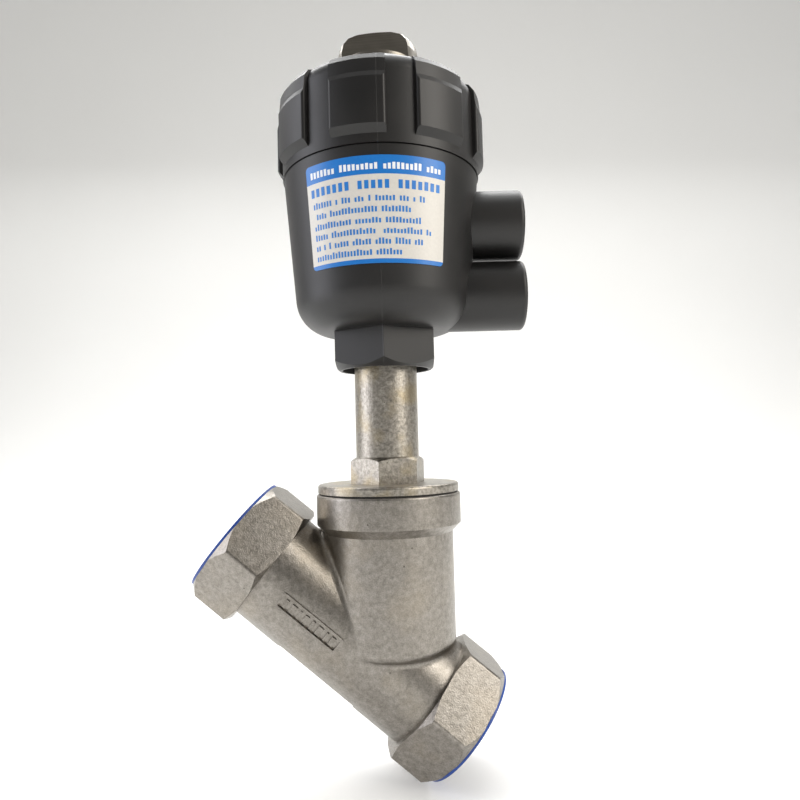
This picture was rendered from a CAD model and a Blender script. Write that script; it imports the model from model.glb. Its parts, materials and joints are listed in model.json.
import json
import math
import bpy
from mathutils import Matrix, Vector


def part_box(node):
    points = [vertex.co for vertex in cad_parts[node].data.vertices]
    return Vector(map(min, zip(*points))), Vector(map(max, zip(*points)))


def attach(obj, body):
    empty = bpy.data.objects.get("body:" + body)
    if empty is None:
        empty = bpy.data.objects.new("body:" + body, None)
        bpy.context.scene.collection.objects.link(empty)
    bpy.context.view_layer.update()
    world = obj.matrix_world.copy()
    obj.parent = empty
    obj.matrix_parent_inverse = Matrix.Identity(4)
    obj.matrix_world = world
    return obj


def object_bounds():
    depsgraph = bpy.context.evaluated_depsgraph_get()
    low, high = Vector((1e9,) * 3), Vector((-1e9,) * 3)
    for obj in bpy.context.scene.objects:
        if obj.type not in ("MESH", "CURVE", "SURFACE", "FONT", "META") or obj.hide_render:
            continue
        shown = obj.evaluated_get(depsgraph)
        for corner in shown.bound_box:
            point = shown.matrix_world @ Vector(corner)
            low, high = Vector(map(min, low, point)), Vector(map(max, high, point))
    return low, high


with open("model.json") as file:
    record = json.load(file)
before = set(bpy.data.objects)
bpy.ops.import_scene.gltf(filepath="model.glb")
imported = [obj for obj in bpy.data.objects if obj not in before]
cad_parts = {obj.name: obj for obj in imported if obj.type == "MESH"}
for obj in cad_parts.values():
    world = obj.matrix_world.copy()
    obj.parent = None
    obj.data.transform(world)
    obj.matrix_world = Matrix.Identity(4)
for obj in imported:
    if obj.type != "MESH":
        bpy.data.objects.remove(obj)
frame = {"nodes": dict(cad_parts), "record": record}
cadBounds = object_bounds()  # the CAD model's box, before anything is added
mm = 0.001
nodes = frame["nodes"]
stemLow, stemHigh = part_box("stem")
stemX = (stemLow.x + stemHigh.x) / 2  # the stem axis
print("frame loaded,", len(nodes), "nodes")


def linear(hexColour):  # sRGB hex to the linear colour the shaders want
    parts = [int(hexColour[i:i + 2], 16) / 255 for i in (1, 3, 5)]
    return (*[c / 12.92 if c <= 0.04045 else ((c + 0.055) / 1.055) ** 2.4 for c in parts], 1.0)


def addNode(tree, kind, inputs=None, **settings):  # a value that is a socket is linked
    node = tree.nodes.new(kind)
    for name, value in settings.items():
        setattr(node, name, value)
    for name, value in (inputs or {}).items():
        if isinstance(value, bpy.types.NodeSocket):
            tree.links.new(value, node.inputs[name])
        else:
            node.inputs[name].default_value = value
    return node


def newMaterial(name):  # a new material, its node tree, its shader and its Object coordinates
    material = bpy.data.materials.new(name)
    material.use_nodes = True
    tree = material.node_tree
    shader = tree.nodes["Principled BSDF"]
    where = addNode(tree, "ShaderNodeTexCoord").outputs["Object"]
    return material, tree, shader, where


def grains(tree, where, size, detail=2.0, roughness=0.5):  # noise whose lumps are size metres wide
    return addNode(tree, "ShaderNodeTexNoise",
                   {"Vector": where, "Scale": 1 / size, "Detail": detail, "Roughness": roughness})


def ramp(tree, source, stops):  # stops are (place, hex colour or grey)
    node = addNode(tree, "ShaderNodeValToRGB", {"Fac": source})
    elements = node.color_ramp.elements
    while len(elements) < len(stops):
        elements.new(0.5)
    for element, (place, colour) in zip(elements, stops):
        element.position = place
        element.color = linear(colour) if isinstance(colour, str) else (colour,) * 3 + (1,)
    return node.outputs["Color"]


def bump(tree, height, distance, strength=1.0, under=None):
    inputs = {"Height": height, "Distance": distance, "Strength": strength}
    if under:
        inputs["Normal"] = under
    return addNode(tree, "ShaderNodeBump", inputs).outputs["Normal"]


def mixColour(tree, factor, first, second, blend="MIX"):
    node = addNode(tree, "ShaderNodeMix", data_type="RGBA", blend_type=blend)
    for index, value in ((0, factor), (6, first), (7, second)):
        if isinstance(value, bpy.types.NodeSocket):
            tree.links.new(value, node.inputs[index])
        else:
            node.inputs[index].default_value = value
    return node.outputs[2]


def maths(tree, operation, first, second=0.0, third=0.0):
    node = addNode(tree, "ShaderNodeMath", operation=operation)
    for index, value in enumerate((first, second, third)):
        if isinstance(value, bpy.types.NodeSocket):
            tree.links.new(value, node.inputs[index])
        else:
            node.inputs[index].default_value = value
    return node.outputs[0]


blastedSteels = {
    "castStainless": {"dark": "#87827b", "light": "#a19c95", "warm": "#a89e8e", "straw": 0.4,
                      "roughness": (0.33, 0.42), "bead": 0.4 * mm, "beadRise": 0.05 * mm,
                      "skin": 1.6 * mm, "tint": 22 * mm, "pitSpacing": 7.5 * mm},
    "turnedStainless": {"dark": "#8a857d", "light": "#b8b2a8", "warm": "#ab9c7c", "straw": 0.6,
                        "roughness": (0.3, 0.44), "bead": 0.5 * mm, "beadRise": 0.09 * mm,
                        "skin": 1.1 * mm, "tint": 9 * mm, "pitSpacing": 5 * mm}}
blasting = {"skinRise": 0.12 * mm, "pitDepth": 0.1 * mm, "pitColour": "#4a453e"}


def makeBlastedSteel(name):
    # stainless shot with beads, the body over its casting skin and the bonnet over its turning: a
    # satin skin of shallow dimples, faint pits and a straw tint from pickling; dimples are really
    # 0.15 mm and drawn about three times as wide to show
    settings = blastedSteels[name]
    material, tree, shader, where = newMaterial(name)
    bead = grains(tree, where, settings["bead"], 1.5).outputs["Fac"]
    skin = grains(tree, where, settings["skin"], 3.0).outputs["Fac"]
    tint = grains(tree, where, settings["tint"], 3.0).outputs["Fac"]
    base = ramp(tree, skin, [(0.3, settings["dark"]), (0.72, settings["light"])])
    straw = ramp(tree, tint, [(0.5, 0.0), (0.68, settings["straw"])])
    base = mixColour(tree, straw, base, linear(settings["warm"]))
    grainShade = ramp(tree, bead, [(0.35, 0.82), (0.62, 1.0)])
    base = mixColour(tree, 1.0, base, grainShade, "MULTIPLY")
    pits = addNode(tree, "ShaderNodeTexVoronoi",
                   {"Vector": where, "Scale": 1 / settings["pitSpacing"], "Randomness": 1.0})
    pitMask = ramp(tree, pits.outputs["Distance"], [(0.025, 0.8), (0.05, 0.0)])
    base = mixColour(tree, pitMask, base, linear(blasting["pitColour"]))
    tree.links.new(base, shader.inputs["Base Color"])
    low, high = settings["roughness"]
    rough = addNode(tree, "ShaderNodeMapRange", {"Value": skin, "To Min": low, "To Max": high})
    tree.links.new(rough.outputs["Result"], shader.inputs["Roughness"])
    normal = bump(tree, skin, blasting["skinRise"], 0.5)
    normal = bump(tree, bead, settings["beadRise"], 0.8, normal)
    normal = bump(tree, maths(tree, "SUBTRACT", 1.0, pitMask), blasting["pitDepth"], 0.8, normal)
    tree.links.new(normal, shader.inputs["Normal"])
    shader.inputs["Metallic"].default_value = 1.0
    return material


metals = {
    "innerStainless": {"dark": "#9a9894", "light": "#bbb8b2", "roughness": (0.2, 0.3),
                       "feed": 0.3 * mm, "bead": 0.3 * mm},
    "springSteel": {"dark": "#5b5a58", "light": "#77756f", "roughness": (0.35, 0.45),
                    "feed": 0.5 * mm, "bead": 0.3 * mm},
    "pistonAluminium": {"dark": "#b4b5b8", "light": "#d0d1d3", "roughness": (0.22, 0.32),
                        "feed": 0.3 * mm, "bead": 0.3 * mm},
    "nickelBrass": {"dark": "#a39c86", "light": "#c4bea9", "roughness": (0.22, 0.34),
                    "feed": 0.3 * mm, "bead": 0.3 * mm},
    "coverMetal": {"dark": "#77726a", "light": "#8f8a81", "roughness": (0.3, 0.4),
                   "feed": 0.4 * mm, "bead": 0.3 * mm}}
turning = {"patch": 9 * mm, "ringRise": 0.015 * mm, "beadRise": 0.03 * mm}


def makeTurnedMetal(name):
    # metal turned on a lathe, and the springs' wire: fine level rings under a satin skin; the feed
    # is really 0.1 mm and drawn coarser to show
    settings = metals[name]
    material, tree, shader, where = newMaterial(name)
    height = addNode(tree, "ShaderNodeSeparateXYZ", {"Vector": where}).outputs["Z"]
    stretched = addNode(tree, "ShaderNodeCombineXYZ", {"Z": height})
    rings = grains(tree, stretched.outputs["Vector"], settings["feed"], 2.0).outputs["Fac"]
    bead = grains(tree, where, settings["bead"], 1.5).outputs["Fac"]
    patch = grains(tree, where, turning["patch"], 3.0).outputs["Fac"]
    both = maths(tree, "ADD", maths(tree, "MULTIPLY", patch, 0.6), maths(tree, "MULTIPLY", rings, 0.4))
    base = ramp(tree, both, [(0.34, settings["dark"]), (0.66, settings["light"])])
    tree.links.new(base, shader.inputs["Base Color"])
    low, high = settings["roughness"]
    rough = addNode(tree, "ShaderNodeMapRange", {"Value": bead, "To Min": low, "To Max": high})
    tree.links.new(rough.outputs["Result"], shader.inputs["Roughness"])
    normal = bump(tree, rings, turning["ringRise"], 0.7)
    normal = bump(tree, bead, turning["beadRise"], 0.6, normal)
    tree.links.new(normal, shader.inputs["Normal"])
    shader.inputs["Metallic"].default_value = 1.0
    return material


nylon = {"base": "#0b0a0a", "worn": "#151312", "roughness": (0.4, 0.52), "spark": 0.28 * mm,
         "sparkRise": 0.03 * mm, "flow": 14 * mm, "partingWidth": 0.25 * mm,
         "partingRise": 0.06 * mm, "ior": 1.53}


def makeBlackNylon():
    # glass-filled black nylon, moulded in a spark-eroded tool: a fine even grain, faint flow
    # clouds from the glass, and the mould's parting line down the front; grain drawn twice as wide
    material, tree, shader, where = newMaterial("blackNylon")
    spark = grains(tree, where, nylon["spark"], 1.0).outputs["Fac"]
    flow = grains(tree, where, nylon["flow"], 4.0).outputs["Fac"]
    base = ramp(tree, flow, [(0.35, nylon["base"]), (0.75, nylon["worn"])])
    tree.links.new(base, shader.inputs["Base Color"])
    low, high = nylon["roughness"]
    rough = addNode(tree, "ShaderNodeMapRange", {"Value": flow, "To Min": low, "To Max": high})
    tree.links.new(rough.outputs["Result"], shader.inputs["Roughness"])
    across = addNode(tree, "ShaderNodeSeparateXYZ", {"Vector": where}).outputs["X"]
    off = maths(tree, "ABSOLUTE", maths(tree, "SUBTRACT", across, stemX))
    parting = addNode(tree, "ShaderNodeMapRange",
                      {"Value": off, "From Max": nylon["partingWidth"], "To Min": 1.0, "To Max": 0.0})
    normal = bump(tree, spark, nylon["sparkRise"], 0.7)
    normal = bump(tree, parting.outputs["Result"], nylon["partingRise"], 1.0, normal)
    tree.links.new(normal, shader.inputs["Normal"])
    shader.inputs["IOR"].default_value = nylon["ior"]
    return material


plastics = {  # colour pair, roughness, IOR, grain width and grain height
    "bluePolyethylene": ("#123a86", "#1d4a9c", 0.42, 1.51, 0.6 * mm, 0.02 * mm),
    "filledPtfe": ("#6a5a44", "#7a6a52", 0.5, 1.35, 0.3 * mm, 0.01 * mm),
    "whitePtfe": ("#e2e0da", "#efeee9", 0.4, 1.35, 0.4 * mm, 0.01 * mm),
    "redAcetal": ("#b3201a", "#c4302a", 0.25, 1.48, 0.3 * mm, 0.005 * mm),
    "blackRubber": ("#141414", "#1e1e1e", 0.55, 1.52, 0.3 * mm, 0.02 * mm),
    "gasketFibre": ("#2a2826", "#3b3835", 0.8, 1.5, 0.25 * mm, 0.04 * mm),
    "printBlue": ("#1c6fbe", "#2779c6", 0.4, 1.5, 0.5 * mm, 0.002 * mm),
    "printWhite": ("#dfe3e6", "#eceef0", 0.4, 1.5, 0.5 * mm, 0.002 * mm)}


def makePlastic(name):
    # moulded, machined or printed stuff: two close tones in soft clouds and a shallow even grain
    first, second, roughness, ior, size, rise = plastics[name]
    material, tree, shader, where = newMaterial(name)
    clouds = grains(tree, where, size * 12, 3.0).outputs["Fac"]
    base = ramp(tree, clouds, [(0.35, first), (0.65, second)])
    tree.links.new(base, shader.inputs["Base Color"])
    grain = grains(tree, where, size, 1.0).outputs["Fac"]
    tree.links.new(bump(tree, grain, rise, 0.8), shader.inputs["Normal"])
    shader.inputs["Roughness"].default_value = roughness
    shader.inputs["IOR"].default_value = ior
    return material


label = {"blue": "#1a72c2", "field": "#d3cfc8", "topBand": 5.5 * mm, "bottomBand": 1.3 * mm,
         "gloss": 0.34, "mottle": 0.7 * mm, "ripple": 6 * mm, "rippleRise": 0.04 * mm}


def makeLabelFilm():
    # printed vinyl film under a clear laminate: flat inks with a soft even gloss and paper-like mottle
    material, tree, shader, where = newMaterial("labelFilm")
    low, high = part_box("label")
    height = addNode(tree, "ShaderNodeSeparateXYZ", {"Vector": where}).outputs["Z"]
    top = maths(tree, "GREATER_THAN", height, high.z - label["topBand"])
    bottom = maths(tree, "LESS_THAN", height, low.z + label["bottomBand"])
    band = maths(tree, "ADD", top, bottom)
    base = mixColour(tree, band, linear(label["field"]), linear(label["blue"]))
    grain = grains(tree, where, label["mottle"], 2.0).outputs["Fac"]
    mottle = ramp(tree, grain, [(0.3, 0.94), (0.7, 1.0)])
    base = mixColour(tree, 1.0, base, mottle, "MULTIPLY")
    tree.links.new(base, shader.inputs["Base Color"])
    ripple = grains(tree, where, label["ripple"], 2.0).outputs["Fac"]
    tree.links.new(bump(tree, ripple, label["rippleRise"], 0.5), shader.inputs["Normal"])
    shader.inputs["Roughness"].default_value = label["gloss"]
    return material


materials = {"blackNylon": makeBlackNylon(), "labelFilm": makeLabelFilm()}
for steelName in blastedSteels:
    materials[steelName] = makeBlastedSteel(steelName)
for metalName in metals:
    materials[metalName] = makeTurnedMetal(metalName)
for plasticName in plastics:
    materials[plasticName] = makePlastic(plasticName)
slotFinish = {}  # material slot of the record to the material here
for entry in frame["record"]["materials"]:
    words = entry["slot"].split("_")
    slotFinish[entry["slot"]] = materials[words[0] + "".join(word.title() for word in words[1:])]
for part in frame["record"]["subparts"]:
    mesh = nodes[part["node"]].data
    mesh.materials.clear()
    mesh.materials.append(slotFinish[part["material_slot"]])
print("materials:", len(materials))


def newPiece(name, vertices, faces, material, edges=()):
    mesh = bpy.data.meshes.new(name)
    mesh.from_pydata(vertices, edges, faces)
    mesh.materials.append(material)
    piece = bpy.data.objects.new(name, mesh)
    bpy.context.scene.collection.objects.link(piece)
    return piece


def newGrowth(name, sockets):  # a Geometry Nodes tree with its named inputs
    tree = bpy.data.node_groups.new(name, "GeometryNodeTree")
    tree.interface.new_socket("Geometry", in_out="INPUT", socket_type="NodeSocketGeometry")
    for title, (kind, value) in sockets.items():
        socket = tree.interface.new_socket(title, in_out="INPUT", socket_type="NodeSocket" + kind)
        socket.default_value = value
    tree.interface.new_socket("Geometry", in_out="OUTPUT", socket_type="NodeSocketGeometry")
    return tree, tree.nodes.new("NodeGroupInput").outputs


def endGrowth(tree, geometry):  # every tree ends with whole geometry in the chosen material
    tree.interface.new_socket("Material", in_out="INPUT", socket_type="NodeSocketMaterial")
    material = tree.nodes["Group Input"].outputs["Material"]
    solid = addNode(tree, "GeometryNodeRealizeInstances", {"Geometry": geometry})
    painted = addNode(tree, "GeometryNodeSetMaterial",
                      {"Geometry": solid.outputs["Geometry"], "Material": material})
    addNode(tree, "NodeGroupOutput", {"Geometry": painted.outputs["Geometry"]})


def grow(piece, tree, values):  # run the tree on the piece and keep the mesh that it makes
    modifier = piece.modifiers.new("growth", "NODES")
    modifier.node_group = tree
    names = {item.name: item.identifier for item in tree.interface.items_tree
             if item.in_out == "INPUT"}
    for name, value in {**values, "Material": piece.data.materials[0]}.items():
        modifier[names[name]] = value
    graph = bpy.context.evaluated_depsgraph_get()
    mesh = bpy.data.meshes.new_from_object(piece.evaluated_get(graph))
    piece.modifiers.remove(modifier)
    piece.data = mesh


def makeThreadTree():
    # a trapezoid section carried along a helix, which starts at the mouth and runs inwards
    tree, given = newGrowth("threadRidge", {
        "Radius": ("Float", 15 * mm), "Pitch": ("Float", 2.3 * mm), "Length": ("Float", 14 * mm),
        "Rise": ("Float", 1 * mm), "Base Width": ("Float", 2 * mm), "Crest Width": ("Float", 0.3 * mm),
        "Steps": ("Int", 64), "Turn": ("Rotation", (0, 0, 0)), "Mouth": ("Vector", (0, 0, 0))})
    middle = maths(tree, "MULTIPLY_ADD", given["Rise"], -0.5, given["Radius"])
    run = maths(tree, "SUBTRACT", given["Length"], maths(tree, "MULTIPLY", given["Pitch"], 1.1))
    turns = maths(tree, "DIVIDE", run, given["Pitch"])
    helix = addNode(tree, "GeometryNodeCurveSpiral",
                    {"Resolution": given["Steps"], "Rotations": turns, "Start Radius": middle,
                     "End Radius": middle, "Height": run})
    upright = addNode(tree, "GeometryNodeSetCurveNormal",
                      {"Curve": helix.outputs["Curve"]}, mode="Z_UP")
    section = addNode(tree, "GeometryNodeCurvePrimitiveQuadrilateral",
                      {"Height": given["Rise"], "Bottom Width": given["Base Width"],
                       "Top Width": given["Crest Width"], "Offset": 0.0}, mode="TRAPEZOID")
    ridge = addNode(tree, "GeometryNodeCurveToMesh",
                    {"Curve": upright.outputs["Curve"], "Profile Curve": section.outputs["Curve"],
                     "Fill Caps": True})
    lower = maths(tree, "MULTIPLY_ADD", given["Pitch"], -0.55, maths(tree, "MULTIPLY", run, -1.0))
    shift = addNode(tree, "ShaderNodeCombineXYZ", {"Z": lower})
    sunk = addNode(tree, "GeometryNodeTransform",
                   {"Geometry": ridge.outputs["Mesh"], "Translation": shift.outputs["Vector"]})
    placed = addNode(tree, "GeometryNodeTransform",
                     {"Geometry": sunk.outputs["Geometry"], "Translation": given["Mouth"],
                      "Rotation": given["Turn"]})
    endGrowth(tree, placed.outputs["Geometry"])
    return tree


threads = {  # name, pitch and height of the ridge, finish, slot and body of each port
    "inlet_port": ("inletThread", 2.309 * mm, 0.95 * mm, "castStainless", "cast_stainless", "valve"),
    "outlet_port": ("outletThread", 2.309 * mm, 0.95 * mm, "castStainless", "cast_stainless", "valve"),
    "pilot_port": ("pilotThread", 1.337 * mm, 0.55 * mm, "nickelBrass", "nickel_brass", "actuator"),
    "vent_port": ("ventThread", 1.337 * mm, 0.55 * mm, "nickelBrass", "nickel_brass", "actuator")}
ridgeSink = 0.02  # mm that the ridge's foot is sunk into the port's wall
ridgeBase, ridgeCrest = 0.92, 0.12  # widths of its foot and crest as shares of the pitch
threadTree = makeThreadTree()
for mount in frame["record"]["mounts"]:
    name, pitch, rise, finish, slotName, body = threads[mount["name"]]
    turn = Vector(mount["axis"]).to_track_quat("Z", "Y").to_euler()
    piece = newPiece(name, [(0, 0, 0)], [], materials[finish])
    grow(piece, threadTree, {
        "Radius": (mount["dims"]["r_mm"] + ridgeSink) * mm, "Pitch": pitch, "Rise": rise,
        "Length": mount["dims"]["length_mm"] * mm, "Base Width": pitch * ridgeBase,
        "Crest Width": pitch * ridgeCrest, "Turn": turn, "Mouth": mount["pos_m"]})
    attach(piece, body)
print("threads grown in", len(threads), "ports")


def makePrintTree():
    # small upright marks along each row's edge, some left out as gaps, wrapped on the tapered label
    tree, given = newGrowth("printRows", {
        "Pitch": ("Float", 1 * mm), "Width": ("Float", 0.7 * mm), "Low": ("Float", 1 * mm),
        "Tall": ("Float", 1.5 * mm), "Gap Share": ("Float", 0.14), "Seed": ("Int", 1),
        "Stem X": ("Float", 0.0), "Foot Z": ("Float", 0.0), "Foot Radius": ("Float", 30 * mm),
        "Taper": ("Float", 0.08), "Wrap Radius": ("Float", 31 * mm)})
    rows = addNode(tree, "GeometryNodeMeshToCurve", {"Mesh": given["Geometry"]})
    slots = addNode(tree, "GeometryNodeCurveToPoints",
                    {"Curve": rows.outputs["Curve"], "Length": given["Pitch"]}, mode="LENGTH")
    gaps = addNode(tree, "FunctionNodeRandomValue",
                   {"Probability": given["Gap Share"], "Seed": given["Seed"]}, data_type="BOOLEAN")
    kept = addNode(tree, "GeometryNodeDeleteGeometry",
                   {"Geometry": slots.outputs["Points"], "Selection": gaps.outputs[3]}, domain="POINT")
    mark = addNode(tree, "GeometryNodeMeshGrid", {"Size X": 1.0, "Size Y": 1.0, "Vertices X": 3,
                                                  "Vertices Y": 2})
    standing = addNode(tree, "GeometryNodeTransform",
                       {"Geometry": mark.outputs["Mesh"], "Translation": (0, 0, 0.5),
                        "Rotation": (math.pi / 2, 0, 0)})
    height = tree.nodes.new("FunctionNodeRandomValue")
    for index, value in ((2, given["Low"]), (3, given["Tall"])):  # the number's least and greatest
        tree.links.new(value, height.inputs[index])
    tree.links.new(given["Seed"], height.inputs["Seed"])
    size = addNode(tree, "ShaderNodeCombineXYZ",
                   {"X": given["Width"], "Y": 1.0, "Z": height.outputs[1]})
    marks = addNode(tree, "GeometryNodeInstanceOnPoints",
                    {"Points": kept.outputs["Geometry"], "Instance": standing.outputs["Geometry"],
                     "Scale": size.outputs["Vector"]})
    flat = addNode(tree, "GeometryNodeRealizeInstances", {"Geometry": marks.outputs["Instances"]})
    place = addNode(tree, "ShaderNodeSeparateXYZ",
                    {"Vector": tree.nodes.new("GeometryNodeInputPosition").outputs["Position"]})
    angle = maths(tree, "DIVIDE", place.outputs["X"], given["Wrap Radius"])
    radius = maths(tree, "MULTIPLY_ADD", place.outputs["Z"], given["Taper"], given["Foot Radius"])
    wrapped = addNode(tree, "ShaderNodeCombineXYZ", {
        "X": maths(tree, "MULTIPLY_ADD", maths(tree, "SINE", angle), radius, given["Stem X"]),
        "Y": maths(tree, "MULTIPLY", maths(tree, "COSINE", angle), maths(tree, "MULTIPLY", radius, -1.0)),
        "Z": maths(tree, "ADD", place.outputs["Z"], given["Foot Z"])})
    bent = addNode(tree, "GeometryNodeSetPosition",
                   {"Geometry": flat.outputs["Geometry"], "Position": wrapped.outputs["Vector"]})
    endGrowth(tree, bent.outputs["Geometry"])
    return tree


prints = {  # rows are (height above the label's foot, left, right) in mm, from the label's front line
    "titlePrint": {
        "rows": [(27.3, -21.2, 18.6)], "finish": "printWhite",
        "marks": {"Pitch": 1.25 * mm, "Width": 0.85 * mm, "Low": 1.4 * mm, "Tall": 2.1 * mm, "Seed": 3}},
    "boldPrint": {
        "rows": [(21.7, -21.2, 18.2)], "finish": "printBlue",
        "marks": {"Pitch": 1.9 * mm, "Width": 1.25 * mm, "Low": 2.4 * mm, "Tall": 2.6 * mm, "Seed": 8}},
    "textPrint": {
        "rows": [(18.1, -21.0, 13.5), (14.9, -21.0, 9.1), (11.7, -21.0, 12.3),
                 (8.6, -21.0, 15.8), (5.5, -21.0, 13.0), (2.4, -21.0, 6.3)], "finish": "printBlue",
        "marks": {"Pitch": 1.0 * mm, "Width": 0.6 * mm, "Low": 1.2 * mm, "Tall": 1.9 * mm, "Seed": 5}}}
printLift = 0.03 * mm  # ink above the film
rimSearch = 0.1 * mm  # how near the label's ends its corners are looked for


def labelShape():  # the label's foot radius and taper, measured on its mesh
    low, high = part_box("label")
    ends = []
    for z in (low.z, high.z):
        near = [v.co for v in nodes["label"].data.vertices if abs(v.co.z - z) < rimSearch]
        ends.append(max(math.hypot(spot.x - stemX, spot.y) for spot in near))
    return low.z, ends[0] + printLift, (ends[1] - ends[0]) / (high.z - low.z)


footZ, footRadius, taper = labelShape()
printTree = makePrintTree()
for name, settings in prints.items():
    rows = settings["rows"]
    corners = [(side * mm, 0, height * mm) for height, left, right in rows for side in (left, right)]
    piece = newPiece(name, corners, [], materials[settings["finish"]],
                     [(2 * k, 2 * k + 1) for k in range(len(rows))])
    grow(piece, printTree, {**settings["marks"], "Stem X": stemX, "Foot Z": footZ,
                            "Foot Radius": footRadius, "Taper": taper})
    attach(piece, "actuator")
print("label print grown:", ", ".join(prints))


studio = {"floor": "#eeeeec", "floorLight": "#f1f1ef", "room": "#d8d6d2", "roomStrength": 0.34,
          "glow": 0.14, "tone": 0.3, "front": -2.5, "bendStart": 0.9, "bendRadius": 0.6,
          "top": 3.0, "halfWidth": 3.5, "bendSteps": 8}  # sizes in metres


def makeStage():
    floorZ = cadBounds[0][2]
    start, radius, steps = studio["bendStart"], studio["bendRadius"], studio["bendSteps"]
    profile = [(studio["front"], 0.0), (start, 0.0)]
    for step in range(1, steps + 1):
        angle = math.radians(90 * step / steps)
        profile.append((start + radius * math.sin(angle), radius - radius * math.cos(angle)))
    profile.append((start + radius, studio["top"]))
    sides = (-studio["halfWidth"], studio["halfWidth"])
    vertices = [(x, y, floorZ + z) for y, z in profile for x in sides]
    faces = [(2 * k, 2 * k + 1, 2 * k + 3, 2 * k + 2) for k in range(len(profile) - 1)]
    # matt paper sweep: two close tones of white in wide clouds, with a faint even glow
    material, tree, shader, where = newMaterial("stagePaper")
    tone = grains(tree, where, studio["tone"], 2.0).outputs["Fac"]
    tree.links.new(ramp(tree, tone, [(0.2, studio["floor"]), (0.8, studio["floorLight"])]),
                   shader.inputs["Base Color"])
    shader.inputs["Roughness"].default_value = 0.9
    shader.inputs["Emission Color"].default_value = linear("#ffffff")
    shader.inputs["Emission Strength"].default_value = studio["glow"]
    stage = newPiece("stageFloor", vertices, faces, material)
    for polygon in stage.data.polygons:
        polygon.use_smooth = True


aimHeight = 0.08  # the lamps aim at the stem axis this far above the inlet's mouth
lights = [  # name, place and size in metres, power in watts, colour
    ("windowRight", (0.80, -0.50, 0.62), (0.5, 0.9), 8.0, "#fffaf2"),
    ("softLeft", (-0.85, -0.10, 0.35), (0.5, 0.9), 5.0, "#f6f7ff"),
    ("overhead", (0.0, 0.15, 1.1), (0.8, 0.8), 4.0, "#ffffff"),
    ("backWash", (0.0, 0.75, 1.3), (2.4, 0.5), 24, "#ffffff")]


def makeLights():
    target = Vector((stemX, 0, aimHeight))
    for name, place, (width, height), power, colour in lights:
        data = bpy.data.lights.new(name, "AREA")
        data.shape = "RECTANGLE"
        data.size, data.size_y = width, height
        data.energy = power
        data.color = linear(colour)[:3]
        lamp = bpy.data.objects.new(name, data)
        lamp.location = place
        lamp.rotation_euler = (target - Vector(place)).to_track_quat("-Z", "Y").to_euler()
        bpy.context.scene.collection.objects.link(lamp)
    world = bpy.data.worlds.new("studioRoom")
    world.use_nodes = True
    background = world.node_tree.nodes["Background"]
    background.inputs["Color"].default_value = linear(studio["room"])
    background.inputs["Strength"].default_value = studio["roomStrength"]
    bpy.context.scene.world = world


view = {"distance": 219.6 * mm, "right": 5.2 * mm, "above": 90.4 * mm,  # from stem axis, inlet's mouth
        "turn": 0.16, "tilt": 3.48, "roll": 1.47, "lens": 29.54, "sensor": 36}  # degrees, then mm


def makeCamera():
    data = bpy.data.cameras.new("photoCamera")
    data.lens = view["lens"]
    data.sensor_width = view["sensor"]
    camera = bpy.data.objects.new("photoCamera", data)
    turn = (Matrix.Rotation(math.radians(view["turn"]), 4, "Z")
            @ Matrix.Rotation(math.radians(view["tilt"]), 4, "X")
            @ Matrix.Rotation(math.radians(view["roll"]), 4, "Y")
            @ Matrix.Rotation(math.radians(90), 4, "X"))
    place = Matrix.Translation((stemX + view["right"], -view["distance"], view["above"]))
    camera.matrix_world = place @ turn
    bpy.context.scene.collection.objects.link(camera)
    bpy.context.scene.camera = camera


makeStage()
makeLights()
makeCamera()
print("stage, lights and camera set")
bpy.context.scene.view_settings.view_transform = "Standard"
